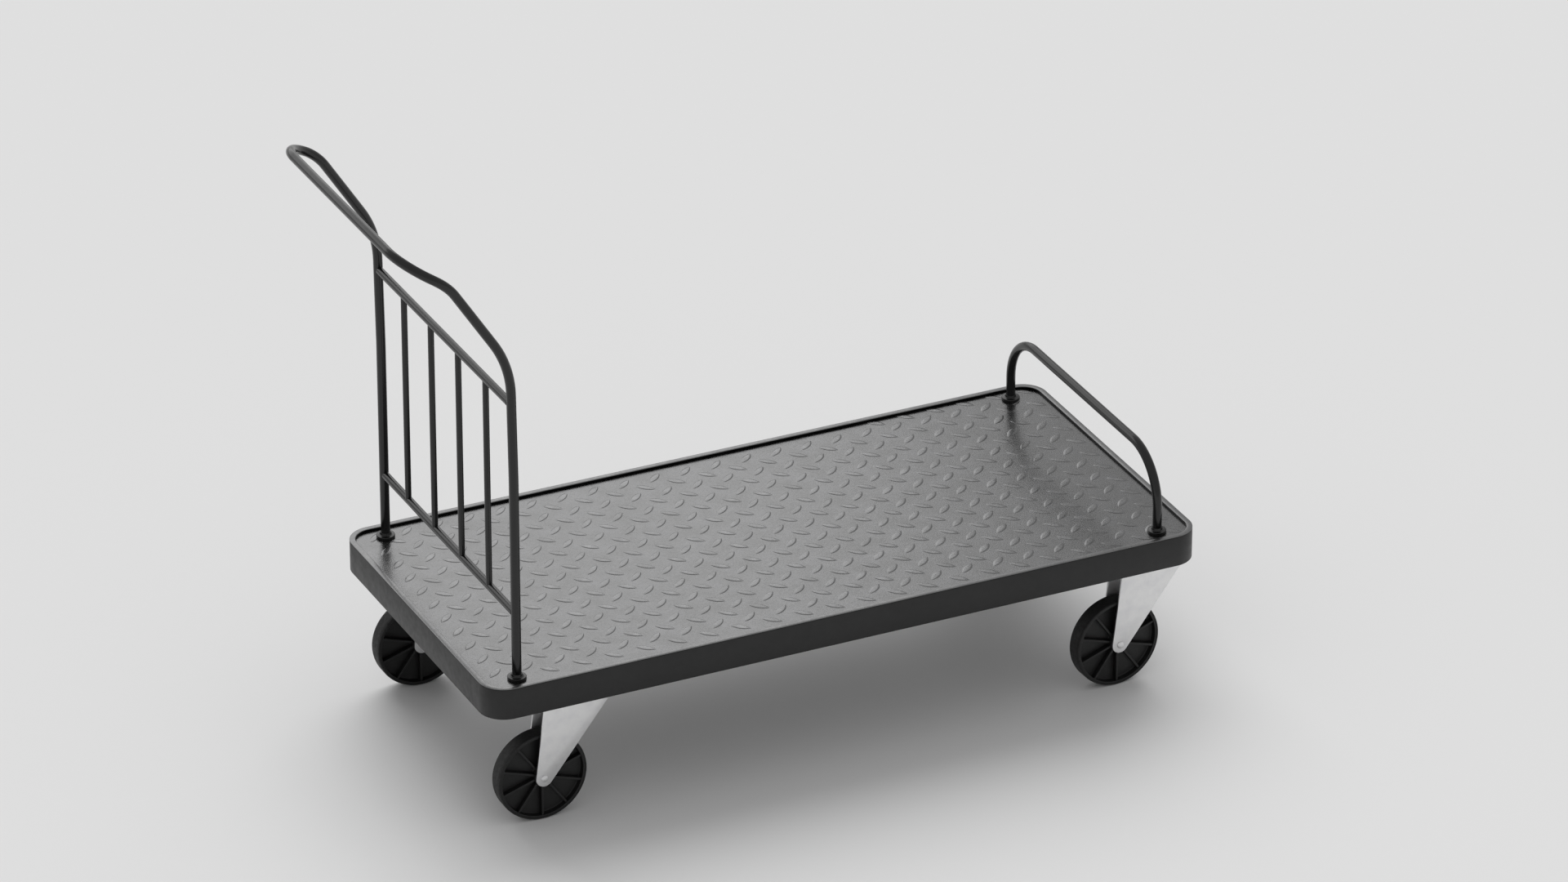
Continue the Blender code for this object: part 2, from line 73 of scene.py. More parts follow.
# Places read from the frame
RIM_LOW, RIM_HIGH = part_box("rim_frame")
RIM_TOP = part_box("rim_cap")[1].z
DECK_SHEET = 2 * MM
DECK_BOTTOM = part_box("deck_plate")[0].z
DECK_TOP = DECK_BOTTOM + DECK_SHEET   # the sheet's face, below the tops of the lozenges
DECK_LENGTH = RIM_HIGH.x - RIM_LOW.x
DECK_WIDTH = RIM_HIGH.y - RIM_LOW.y
DECK_MIDDLE = Matrix.Translation(((RIM_LOW.x + RIM_HIGH.x) / 2, 0, 0))
BAR_LOW, BAR_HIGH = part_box("handle_bar")
RAIL_LOW, RAIL_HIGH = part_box("low_rail")
BAR_RADIUS = (RAIL_HIGH.x - RAIL_LOW.x) / 2
POST_X = BAR_HIGH.x - BAR_RADIUS
POST_Y = sum(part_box("handle_flange_left"), Vector()).y / 2     # the middle of a post's collar
RAIL_X = RAIL_HIGH.x - BAR_RADIUS

# Deck and skirt
CORNER_RADIUS = 42 * MM
SKIRT_WALL = 3 * MM
CAP_WIDTH = 9.5 * MM
CAP_SHEET = 1.5 * MM
PLATE_INSET = 3.4 * MM                # from the skirt's outside to the deck plate's edge
SKIRT_EASE = 0.4 * MM                 # round on the skirt's edges
CAP_BEND = 0.9 * MM                   # round on the edge strip's top edges
CAP_EASE = 0.2 * MM                   # round on its cut edges
TUBE_WALL = 2 * MM
TUBE_CORNER = 2.5 * MM                # outer corner radius of the square tubes
TUBE_BORE_CORNER = 1 * MM

# Tread pattern: two crossed lenses in each cell of a slightly turned grid
TREAD_ALONG = Vector((53.7, -0.64)) * MM
TREAD_ACROSS = Vector((0.69, 48.5)) * MM
TREAD_START = Vector((44.0, 33.7)) * MM
LENS_TURNS = (-42.8, 41.4)
LENS_LENGTH = 37 * MM
LENS_WIDTH = 12 * MM
LENS_HEIGHT = 0.6 * MM
LENS_STATIONS = 8                     # points along each side of a lens
# Rings of a lens from its fillet inwards, as parts of its own width and length
LENS_RINGS = ((1.15, 1.03), (1.0, 1.0), (0.84, 0.94), (0.74, 0.91), (0.4, 0.86))
LENS_MARGIN = 2 * MM                  # least distance from the plate's edge to a lens
LENS_SIDE_POWER = 9                   # the higher the powers, the flatter the top and the steeper its edge
LENS_END_POWER = 4
WELD = 1e-7                           # points closer than this become one

# Push handle's bends, as corners above the rim and behind the feet, and the low rail's
SWAY_START = 336.6 * MM
LEAN_START = 532.7 * MM
KNEE_HEIGHT = 684.3 * MM
SWAY_BACK = 2.5 * MM
LEAN_BACK = 99.9 * MM
LEAN_IN = 5.1 * MM
SWAY_RADIUS = 1200 * MM
LEAN_RADIUS = 172 * MM
GRIP_RADIUS = 69.5 * MM
KNEE_REACH = 22 * MM                  # from the knee's corner to each end of its bend
RAIL_RADIUS = 85.5 * MM
COLLAR_STEP = 0.6 * MM                # how far a collar's top climbs from its rim to its neck

# Casters, in each caster's own frame: swivel axis at X = Y = 0, floor at Z = 0
WHEEL_RADIUS = 75 * MM
TYRE_WIDTH = 27.2 * MM
TYRE_INNER = 71 * MM
TRAIL = 50 * MM
FORK_WIDTH = 40 * MM
FORK_SHEET = 3 * MM
FORK_TIP_RADIUS = 14 * MM
FORK_REAR_SLOPE = math.atan(0.124)    # lean of the cheeks' edges away from upright
FORK_FRONT_SLOPE = math.atan(0.783)
FORK_BEND_HEIGHT = 119 * MM           # from the axle up to where the front edge turns upright
FORK_OUTER_BEND = 5 * MM
FORK_INNER_BEND = 2 * MM
FORK_EASE = 0.35 * MM                 # bevel on the cut sheet
CROWN_TOP = 212.2 * MM
HUB_RADIUS = 14 * MM
HUB_WIDTH = 31 * MM
WEB_WIDTH = 5 * MM
RIM_INNER = 68.5 * MM
RIM_WIDTH = 26.4 * MM
RIB_COUNT = 10
RIB_WIDTH = 3.8 * MM
RIB_DEPTH = 23 * MM
RIB_LAP = 1.2 * MM                    # how far a rib runs into the hub and the rim
RIB_EASE = 0.7 * MM
SLEEVE_RADIUS = 7 * MM
AXLE_RADIUS = 4 * MM
AXLE_HEAD_RADIUS = 6 * MM
AXLE_HEAD_RISE = 3 * MM
AXLE_COLLAR = 0.3 * MM                # the straight part of the head, below its dome
KINGPIN_RADIUS = 5.7 * MM
RACE_RADIUS = 34 * MM
RACE_EDGE = 6 * MM                    # height of the race's upright edge
RACE_DEPTH = 9 * MM
BALL_RING_RADIUS = 30 * MM
CLEARANCE = 0.3 * MM
HAIRLINE = 0.1 * MM                   # between pieces that look joined


# ---------------------------------------------------------------- meshes

def mesh_of(build, crease=35):
    """Finish a bmesh: faces outward, smooth, with edges above the crease angle kept crisp."""
    bmesh.ops.recalc_face_normals(build, faces=build.faces)
    mesh = bpy.data.meshes.new("piece")
    build.to_mesh(mesh)
    build.free()
    mesh.shade_smooth()
    mesh.set_sharp_from_angle(angle=math.radians(crease))
    return mesh


def loft(rings, closed=False, crease=35):
    """Join equal rings of points, end to end with flat ends, or round into a closed ring."""
    build = bmesh.new()
    rows = [[build.verts.new(point) for point in ring] for ring in rings]
    size = len(rings[0])
    pairs = list(zip(rows, rows[1:]))
    if closed:
        pairs.append((rows[-1], rows[0]))
    else:
        build.faces.new(rows[0])
        build.faces.new(rows[-1])
    for here, there in pairs:
        for step in range(size):
            side = (step + 1) % size
            build.faces.new((here[step], here[side], there[side], there[step]))
    return mesh_of(build, crease)


def filleted(corners, steps=4):
    """A closed outline through (x, y, radius) corners, each one rounded by an arc."""
    points = []
    for index, (x, y, radius) in enumerate(corners):
        here = Vector((x, y))
        if radius == 0:
            points.append(here)
            continue
        back = (Vector(corners[index - 1][:2]) - here).normalized()
        ahead = (Vector(corners[(index + 1) % len(corners)][:2]) - here).normalized()
        half = back.angle(ahead) / 2
        centre = here + (back + ahead).normalized() * radius / math.sin(half)
        first = here + back * radius / math.tan(half) - centre
        last = here + ahead * radius / math.tan(half) - centre
        for step in range(steps + 1):
            arm = first.lerp(last, step / steps).normalized()
            points.append(centre + arm * radius)
    return points


def turned(profile, sides=64, closed=True, crease=35):
    """Turn (radius, height) points about Z. A closed profile makes a ring with a bore."""
    rings = []
    for radius, height in profile:
        turns = [2 * math.pi * step / sides for step in range(sides)]
        rings.append([(radius * math.cos(turn), radius * math.sin(turn), height) for turn in turns])
    return loft(rings, closed, crease)


def placed(mesh, place):
    """The same mesh, moved."""
    mesh.transform(place)
    return mesh


def along_y(mesh):
    """Turn a piece made along Z so that it lies along Y."""
    return placed(mesh, Matrix.Rotation(math.radians(-90), 4, "X"))


def at(x, y, z):
    """A shift."""
    return Matrix.Translation((x, y, z))


def modified(mesh, kind, **settings):
    """Apply one modifier to a mesh."""
    holder = bpy.data.objects.new("holder", mesh)
    bpy.context.scene.collection.objects.link(holder)
    change = holder.modifiers.new("change", kind)
    for name, value in settings.items():
        setattr(change, name, value)
    graph = bpy.context.evaluated_depsgraph_get()
    result = bpy.data.meshes.new_from_object(holder.evaluated_get(graph))
    bpy.data.objects.remove(holder)
    bpy.data.meshes.remove(mesh)
    return result


def carved(mesh, tool, operation="DIFFERENCE"):
    """Cut one mesh with another, add it, or keep what they share."""
    cutter = bpy.data.objects.new("cutter", tool)
    bpy.context.scene.collection.objects.link(cutter)
    result = modified(mesh, "BOOLEAN", operation=operation, solver="EXACT", object=cutter)
    bpy.data.objects.remove(cutter)
    bpy.data.meshes.remove(tool)
    return result


def eased(mesh, width, crease=35):
    """Break the sharp edges of a cut mesh with a small bevel."""
    mesh = modified(mesh, "BEVEL", width=width, segments=2, limit_method="ANGLE",
                    angle_limit=math.radians(30), use_clamp_overlap=True)
    mesh.shade_smooth()
    mesh.set_sharp_from_angle(angle=math.radians(crease))
    return mesh


def rounded_outline(length, width, radius, steps=16):
    """A rectangle with round corners, centred on the origin."""
    x = length / 2
    y = width / 2
    return filleted([(x, y, radius), (-x, y, radius), (-x, -y, radius), (x, -y, radius)], steps)


def deck_ring(profile):
    """A closed band round the deck, from (inset, height) points."""
    rings = []
    for inset, height in profile:
        outline = rounded_outline(DECK_LENGTH - 2 * inset, DECK_WIDTH - 2 * inset, CORNER_RADIUS - inset)
        rings.append([(x, y, height) for x, y in outline])
    return placed(loft(rings, closed=True), DECK_MIDDLE)


def bent_path(corners, radii, turn_step=3):
    """Points along straight runs between corners, with an arc of each radius at its corner."""
    corners = [Vector(corner) for corner in corners]
    path = [corners[0]]
    for before, corner, after, radius in zip(corners, corners[1:], corners[2:], radii):
        come = (corner - before).normalized()
        leave = (after - corner).normalized()
        turn = come.angle(leave)
        start = corner - come * radius * math.tan(turn / 2)
        inward = (leave - come * come.dot(leave)).normalized()
        steps = max(4, round(math.degrees(turn) / turn_step))
        for step in range(steps + 1):
            part = turn * step / steps
            path.append(start + come * radius * math.sin(part) + inward * radius * (1 - math.cos(part)))
    path.append(corners[-1])
    return path


def softened(path, corner, reach, steps=10):
    """The path with one smooth curve in place of what lies within a reach of a corner."""
    inside = [index for index, point in enumerate(path) if (point - corner).length < reach]
    come = (corner - path[inside[0] - 1]).normalized()
    last = inside[-1] + 1
    leave = (path[last + 1] - path[last - 1]).normalized()
    start = corner - come * reach
    pull = (path[last] - start).length / 3
    curve = interpolate_bezier(start, start + come * pull, path[last] - leave * pull, path[last], steps + 1)
    return path[:inside[0]] + curve[:-1] + path[last:]


def swept_bar(path, radius, sides=32):
    """A round bar along a path, each ring lying in the bisecting plane of its corner."""
    rings = []
    across = Vector((1, 0, 0))
    for index, point in enumerate(path):
        come = (point - path[index - 1]).normalized() if index else None
        leave = (path[index + 1] - point).normalized() if index + 1 < len(path) else None
        along = ((come or leave) + (leave or come)).normalized()
        across = (across - along * across.dot(along)).normalized()
        third = along.cross(across)
        turns = [2 * math.pi * step / sides for step in range(sides)]
        rings.append([point + radius * (across * math.cos(turn) + third * math.sin(turn)) for turn in turns])
    return loft(rings, crease=60)


# ---------------------------------------------------------------- materials

class Shader:
    """A Principled material with short ways to add procedural detail."""

    def __init__(self, name, color, roughness, metallic):
        self.material = bpy.data.materials.new(name)
        self.material.use_nodes = True
        self.tree = self.material.node_tree
        self.surface = self.tree.nodes["Principled BSDF"]
        self.place = self.add("ShaderNodeTexCoord").outputs["Object"]
        self.color = color
        self.surface.inputs["Base Color"].default_value = (*color, 1)
        self.surface.inputs["Roughness"].default_value = roughness
        self.surface.inputs["Metallic"].default_value = metallic

    def add(self, kind, **settings):
        """A node with its settings."""
        node = self.tree.nodes.new(kind)
        for name, value in settings.items():
            setattr(node, name, value)
        return node

    def join(self, output, node, socket):
        """A link into a node's named or numbered input."""
        self.tree.links.new(output, node.inputs[socket])

    def noise(self, scale, detail=3, stretch=None):
        """Noise over the object, in cycles per metre."""
        node = self.add("ShaderNodeTexNoise")
        node.inputs["Scale"].default_value = scale
        node.inputs["Detail"].default_value = detail
        source = self.place
        if stretch:
            mapping = self.add("ShaderNodeMapping")
            mapping.inputs["Scale"].default_value = stretch
            self.join(source, mapping, "Vector")
            source = mapping.outputs["Vector"]
        self.join(source, node, "Vector")
        return node.outputs["Fac"]

    def height(self, low, high):
        """A mask that rises from 0 to 1 between two heights in the object's frame."""
        split = self.add("ShaderNodeSeparateXYZ")
        self.join(self.place, split, 0)
        return self.remap(split.outputs["Z"], low, high, 0, 1)

    def remap(self, source, low, high, to_low, to_high):
        """A clamped straight-line change of range."""
        node = self.add("ShaderNodeMapRange")
        for socket, value in (("From Min", low), ("From Max", high), ("To Min", to_low), ("To Max", to_high)):
            node.inputs[socket].default_value = value
        self.join(source, node, "Value")
        return node.outputs["Result"]

    def times(self, first, second):
        """Two masks multiplied."""
        node = self.add("ShaderNodeMath", operation="MULTIPLY")
        self.join(first, node, 0)
        self.join(second, node, 1)
        return node.outputs[0]

    def blend(self, mask, color):
        """Mix another colour over what is there, by a mask."""
        node = self.add("ShaderNodeMix", data_type="RGBA")
        base = self.surface.inputs["Base Color"]
        if base.links:
            self.join(base.links[0].from_socket, node, 6)
        else:
            node.inputs[6].default_value = (*self.color, 1)
        node.inputs[7].default_value = (*color, 1)
        self.join(mask, node, 0)
        self.tree.links.new(node.outputs[2], base)

    def rough(self, source):
        """Drive the roughness."""
        self.join(source, self.surface, "Roughness")

    def bump(self, source, distance, strength=1.0):
        """Add relief; several calls stack."""
        node = self.add("ShaderNodeBump")
        node.inputs["Distance"].default_value = distance
        node.inputs["Strength"].default_value = strength
        self.join(source, node, "Height")
        if self.surface.inputs["Normal"].links:
            self.join(self.surface.inputs["Normal"].links[0].from_socket, node, "Normal")
        self.join(node.outputs["Normal"], self.surface, "Normal")


def tread_steel():
    """Bare rolled steel: grainy, faintly mottled, scuffed brighter on the tops of the lenses."""
    shader = Shader("tread_steel", (0.19, 0.19, 0.19), 0.25, 1.0)
    shader.blend(shader.remap(shader.noise(26, 4), 0.35, 0.65, 0, 1), (0.21, 0.21, 0.212))
    scuff = shader.times(shader.height(DECK_TOP + 0.3 * MM, DECK_TOP + LENS_HEIGHT),
                         shader.remap(shader.noise(60, 4), 0.4, 0.7, 0, 0.6))
    shader.blend(scuff, (0.28, 0.28, 0.283))
    shader.rough(shader.remap(shader.noise(300, 4), 0.3, 0.7, 0.21, 0.29))
    shader.bump(shader.noise(420, 5), 0.10 * MM)
    shader.bump(shader.noise(1500, 2), 0.05 * MM)
    return shader.material


def edge_steel():
    """The satin strip round the deck, with painted shade that makes its upright faces dark."""
    shader = Shader("edge_steel", (0.23, 0.23, 0.23), 0.3, 1.0)
    shader.blend(shader.remap(shader.noise(18, 3), 0.4, 0.7, 0, 1), (0.20, 0.20, 0.203))
    # painted shade: everything more than about a millimetre below the strip's top is darkened to near black,
    # standing in for shade on the upright faces
    shader.blend(shader.height(RIM_TOP - 0.5 * MM, RIM_TOP - 1.2 * MM), (0.012, 0.012, 0.012))
    shader.rough(shader.remap(shader.noise(160, 4), 0.3, 0.7, 0.26, 0.35))
    shader.bump(shader.noise(900, 3), 0.02 * MM)
    return shader.material


def skirt_paint():
    """Charcoal powder coat with a fine orange peel."""
    shader = Shader("skirt_paint", (0.004, 0.004, 0.004), 0.4, 0.0)
    shader.blend(shader.remap(shader.noise(12, 3), 0.35, 0.7, 0, 1), (0.006, 0.006, 0.006))
    shader.rough(shader.remap(shader.noise(90, 3), 0.3, 0.7, 0.41, 0.5))
    shader.bump(shader.noise(700, 3), 0.03 * MM)
    return shader.material


def bar_paint():
    """Semi-gloss black on the bars, a little duller in patches where hands and bags rub."""
    shader = Shader("bar_paint", (0.004, 0.004, 0.004), 0.3, 0.0)
    shader.rough(shader.remap(shader.noise(30, 5), 0.3, 0.7, 0.16, 0.26))
    shader.bump(shader.noise(600, 3), 0.025 * MM)
    return shader.material


def zinc():
    """Satin zinc plate with a faint cloudy grain."""
    shader = Shader("zinc", (0.82, 0.82, 0.82), 0.42, 1.0)
    shader.blend(shader.remap(shader.noise(55, 4), 0.4, 0.7, 0, 1), (0.76, 0.76, 0.77))
    shader.rough(shader.remap(shader.noise(240, 4), 0.3, 0.7, 0.36, 0.5))
    shader.bump(shader.noise(1200, 3), 0.015 * MM)
    return shader.material


def moulded_plastic():
    """Black moulded wheel centre with a fine matte grain."""
    shader = Shader("moulded_plastic", (0.004, 0.004, 0.004), 0.5, 0.0)
    shader.rough(shader.remap(shader.noise(400, 3), 0.3, 0.7, 0.44, 0.58))
    shader.bump(shader.noise(1600, 2), 0.02 * MM)
    return shader.material


def tyre_rubber():
    """Matte black rubber, scuffed a little greyer where it rolls."""
    shader = Shader("tyre_rubber", (0.005, 0.005, 0.005), 0.62, 0.0)
    shader.blend(shader.remap(shader.noise(70, 5), 0.5, 0.75, 0, 0.5), (0.012, 0.012, 0.012))
    shader.rough(shader.remap(shader.noise(200, 4), 0.3, 0.7, 0.55, 0.75))
    shader.bump(shader.noise(900, 4), 0.04 * MM)
    return shader.material


def floor_paint():
    """Plain pale studio floor."""
    shader = Shader("studio_floor", (0.8, 0.8, 0.8), 0.9, 0.0)
    shader.surface.inputs["Specular IOR Level"].default_value = 0.0
    return shader.material


# ---------------------------------------------------------------- pieces

def show(name, mesh, material, body, slot, *nodes):
    """Put a finished piece in the scene, riding on a body and standing for its CAD nodes."""
    piece = bpy.data.objects.new(name, mesh)
    bpy.context.scene.collection.objects.link(piece)
    mesh.materials.clear()
    mesh.materials.append(material)
    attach(piece, body)
    if nodes:
        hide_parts(*nodes)
    return piece


def lens(centre, turn, reach_x, reach_y):
    """Rings of one raised lens as (x, y, rise) points, or None where it would pass the reach."""
    cos = math.cos(math.radians(turn))
    sin = math.sin(math.radians(turn))
    rings = []
    for spread, stretch in LENS_RINGS:
        ring = []
        for side in (1, -1):
            for step in range(LENS_STATIONS):
                along = side * (2 * step / LENS_STATIONS - 1)
                half = spread * (1 - along * along) * LENS_WIDTH / 2
                x = along * stretch * LENS_LENGTH / 2
                y = -side * half
                rise = 0
                if spread < 1:
                    rise = LENS_HEIGHT * (1 - spread ** LENS_SIDE_POWER)
                    rise *= 1 - (along * stretch) ** LENS_END_POWER
                place_x = centre.x + x * cos - y * sin
                place_y = centre.y + x * sin + y * cos
                ring.append((place_x, place_y, rise))
        rings.append(ring)
    reach = max(max(abs(x) - reach_x, abs(y) - reach_y) for x, y, _ in rings[0])
    return rings if reach < 0 else None


def tread_plate():
    """The deck plate in one closed mesh, its lenses raised out of the top face."""
    length = DECK_LENGTH - 2 * PLATE_INSET
    width = DECK_WIDTH - 2 * PLATE_INSET
    outline = rounded_outline(length, width, CORNER_RADIUS - PLATE_INSET)
    points = [(point.x, point.y) for point in outline]
    heights = [0] * len(points)
    edges = [(index, (index + 1) % len(points)) for index in range(len(points))]
    columns = int(length / 2 / TREAD_ALONG.x) + 2
    rows = int(width / 2 / TREAD_ACROSS.y) + 2
    reach_x = length / 2 - LENS_MARGIN
    reach_y = width / 2 - LENS_MARGIN
    for column in range(-columns, columns + 1):
        for row in range(-rows, rows + 1):
            for part, turn in enumerate(LENS_TURNS):
                centre = TREAD_START + TREAD_ALONG * (column + part / 2) + TREAD_ACROSS * (row + part / 2)
                for ring in lens(centre, turn, reach_x, reach_y) or []:
                    first = len(points)
                    points += [(x, y) for x, y, _ in ring]
                    heights += [rise for _, _, rise in ring]
                    size = len(ring)
                    edges += [(first + step, first + (step + 1) % size) for step in range(size)]
    return raised_sheet([Vector(point) for point in points], edges, heights)


def raised_sheet(points, edges, heights):
    """A sheet meshed through all the points and edges, its top lifted by the heights."""
    only_inside = 1
    found, _, faces, sources, _, _ = delaunay_2d_cdt(points, edges, [], only_inside, WELD)
    build = bmesh.new()
    corners = []
    for point, source in zip(found, sources):
        rise = heights[source[0]] if source else 0
        corners.append(build.verts.new((point.x, point.y, DECK_TOP + rise)))
    for face in faces:
        build.faces.new([corners[index] for index in face])
    rim = [edge for edge in build.edges if len(edge.link_faces) == 1]
    grown = bmesh.ops.extrude_edge_only(build, edges=rim)["geom"]
    low = [item for item in grown if isinstance(item, bmesh.types.BMVert)]
    bmesh.ops.translate(build, verts=low, vec=(0, 0, DECK_BOTTOM - DECK_TOP))
    bmesh.ops.contextual_create(build, geom=[edge for edge in build.edges if len(edge.link_faces) == 1])
    return placed(mesh_of(build, 50), DECK_MIDDLE)


def skirt():
    """The upright band round the deck."""
    top = RIM_TOP - CAP_SHEET - CLEARANCE
    corners = [(0, RIM_LOW.z), (0, top), (SKIRT_WALL, top), (SKIRT_WALL, RIM_LOW.z)]
    return deck_ring(filleted([(inset, height, SKIRT_EASE) for inset, height in corners], 2))


def edge_strip():
    """The bent strip over the skirt's top and down to the deck."""
    low = RIM_TOP - CAP_SHEET
    foot = DECK_TOP + HAIRLINE
    inner = CAP_WIDTH - CAP_SHEET
    outside = [(0, low, CAP_EASE), (0, RIM_TOP, CAP_BEND), (CAP_WIDTH, RIM_TOP, CAP_BEND)]
    inside = [(CAP_WIDTH, foot, CAP_EASE), (inner, foot, CAP_EASE), (inner, low, CAP_EASE)]
    return deck_ring(filleted(outside + inside, 3))


def make_deck(tread, edge, paint):
    """Tread plate, skirt, edge strip and the tubes below."""
    show("deck_tread", tread_plate(), tread, "base", "tread_metal", "deck_plate")
    show("skirt", skirt(), paint, "base", "skirt_paint", "rim_frame")
    show("edge_strip", edge_strip(), edge, "base", "edge_metal", "rim_cap")
    for name in ("cross_member_1", "cross_member_2", "cross_member_3", "cross_member_4", "stringer"):
        show(f"{name}_tube", box_tube(name), paint, "base", "skirt_paint", name)


def box_tube(node):
    """A square tube with round edges, in the place of a CAD tube along X or Y."""
    low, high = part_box(node)
    middle = (low + high) / 2
    size = high - low
    runs_along_y = size.y > size.x
    half = min(size.x, size.y) / 2
    length = max(size.x, size.y)
    bore = half - TUBE_WALL
    rings = []
    for reach, radius, end in ((half, TUBE_CORNER, -1), (half, TUBE_CORNER, 1),
                               (bore, TUBE_BORE_CORNER, 1), (bore, TUBE_BORE_CORNER, -1)):
        outline = rounded_outline(2 * reach, 2 * reach, radius, 3)
        rings.append([(x, end * length / 2, z) for x, z in outline])
    turn = Matrix() if runs_along_y else Matrix.Rotation(math.radians(90), 4, "Z")
    return placed(loft(rings, closed=True), Matrix.Translation(middle) @ turn)


def make_handle(paint):
    """Push handle: the bent bar, its crossbars and its spindles."""
    grip_x = BAR_LOW.x + BAR_RADIUS
    grip_z = BAR_HIGH.z - BAR_RADIUS
    knee = Vector((POST_X - LEAN_BACK, LEAN_IN - POST_Y, RIM_TOP + KNEE_HEIGHT))
    corners = [(POST_X, -POST_Y, BAR_LOW.z), (POST_X, -POST_Y, RIM_TOP + SWAY_START),
               (POST_X - SWAY_BACK, -POST_Y, RIM_TOP + LEAN_START), knee,
               (grip_x, LEAN_IN - POST_Y, grip_z), (grip_x, 0, grip_z)]
    right = softened(bent_path(corners, [SWAY_RADIUS, LEAN_RADIUS, 0, GRIP_RADIUS]), knee, KNEE_REACH)
    left = [Vector((x, -y, z)) for x, y, z in reversed(right[:-1])]
    show("push_handle", swept_bar(right + left, BAR_RADIUS), paint, "base", "bar_paint", "handle_bar")
    for name in ("crossbar_upper", "crossbar_lower"):
        low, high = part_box(name)
        middle = (low + high) / 2
        half = POST_Y - BAR_RADIUS + LAP
        radius = (high.z - low.z) / 2
        bar = along_y(turned([(radius, -half), (radius, half)], 32, closed=False, crease=60))
        show(f"{name}_bar", placed(bar, Matrix.Translation(middle)), paint, "base", "bar_paint", name)
    for number in range(1, 5):
        low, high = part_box(f"spindle_{number}")
        radius = (high.x - low.x) / 2
        bar = turned([(radius, low.z - LAP), (radius, high.z + LAP)], 24, closed=False, crease=60)
        place = at((low.x + high.x) / 2, (low.y + high.y) / 2, 0)
        show(f"spindle_bar_{number}", placed(bar, place), paint, "base", "bar_paint", f"spindle_{number}")


def make_low_rail(paint):
    """The low rail at the front end."""
    foot = RAIL_LOW.z
    top = RAIL_HIGH.z - BAR_RADIUS
    corners = [(RAIL_X, -POST_Y, foot), (RAIL_X, -POST_Y, top), (RAIL_X, POST_Y, top), (RAIL_X, POST_Y, foot)]
    bar = swept_bar(bent_path(corners, [RAIL_RADIUS] * 2), BAR_RADIUS)
    show("end_rail", bar, paint, "base", "bar_paint", "low_rail")


def collar(radius, tall):
    """A coved collar round a bar, standing on Z = 0."""
    edge = tall / 2
    bore = BAR_RADIUS + HAIRLINE
    rim = [(bore, 0, 0), (radius, 0, 0.3 * MM), (radius, edge, 0.9 * MM), (radius - 2 * MM, edge, 0)]
    neck = [(bore + 1.6 * MM, edge + COLLAR_STEP, 1.5 * MM), (bore + 0.9 * MM, tall, 0.3 * MM),
            (bore, tall, 0)]
    return turned(filleted(rim + neck, 4), 48)


def make_collars(paint):
    """Collars at the feet of both bars."""
    for owner in ("handle", "low_rail"):
        for side in ("left", "right"):
            node = f"{owner}_flange_{side}"
            low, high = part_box(node)
            place = at((low.x + high.x) / 2, (low.y + high.y) / 2, low.z)
            mesh = placed(collar((high.x - low.x) / 2, high.z - low.z), place)
            show(f"{owner}_collar_{side}", mesh, paint, "base", "bar_paint", node)


def fork_outline():
    """The fork seen from the side, as X and Z points in the caster's frame."""
    tip = FORK_TIP_RADIUS
    top = CROWN_TOP - WHEEL_RADIUS
    bend = FORK_BEND_HEIGHT
    start = 180 - math.degrees(FORK_REAR_SLOPE)
    end = 360 - math.degrees(FORK_FRONT_SLOPE)
    points = []
    for step in range(25):
        turn = math.radians(start + (end - start) * step / 24)
        points.append((tip * math.cos(turn), tip * math.sin(turn)))
    front = tip / math.cos(FORK_FRONT_SLOPE) + bend * math.tan(FORK_FRONT_SLOPE)
    rear = top * math.tan(FORK_REAR_SLOPE) - tip / math.cos(FORK_REAR_SLOPE)
    points += [(front, bend), (front, top), (rear, top)]
    return [(x - TRAIL, z + WHEEL_RADIUS) for x, z in points]


def fork():
    """Bent sheet fork: an inverted channel trimmed to its side outline, edges eased."""
    outer = FORK_WIDTH / 2
    inner = outer - FORK_SHEET
    low = WHEEL_RADIUS - FORK_TIP_RADIUS - 2 * MM
    under = CROWN_TOP - FORK_SHEET
    outside = [(-outer, low, 0), (-outer, CROWN_TOP, FORK_OUTER_BEND), (outer, CROWN_TOP, FORK_OUTER_BEND),
               (outer, low, 0)]
    inside = [(inner, low, 0), (inner, under, FORK_INNER_BEND), (-inner, under, FORK_INNER_BEND),
              (-inner, low, 0)]
    section = filleted(outside + inside, 6)
    long = 90 * MM
    channel = loft([[(x, y, z) for y, z in section] for x in (-long, long)])
    side = loft([[(x, y, z) for x, z in fork_outline()] for y in (-outer - MM, outer + MM)])
    pin_hole = turned([(KINGPIN_RADIUS, under - MM), (KINGPIN_RADIUS, CROWN_TOP + MM)], 32, closed=False)
    return eased(carved(carved(channel, side, "INTERSECT"), pin_hole), FORK_EASE)


def axle():
    """Axle rivet along Y, a domed head on a thin collar outside each cheek."""
    face = FORK_WIDTH / 2
    dome = AXLE_HEAD_RISE - AXLE_COLLAR
    half = [(AXLE_RADIUS, face - MM), (AXLE_HEAD_RADIUS - 0.2 * MM, face)]
    for step in range(9):
        turn = math.radians(10 * step)
        half.append((AXLE_HEAD_RADIUS * math.cos(turn), face + AXLE_COLLAR + dome * math.sin(turn)))
    profile = [(radius, -y) for radius, y in reversed(half)] + half
    return along_y(turned(profile, 48, closed=False))


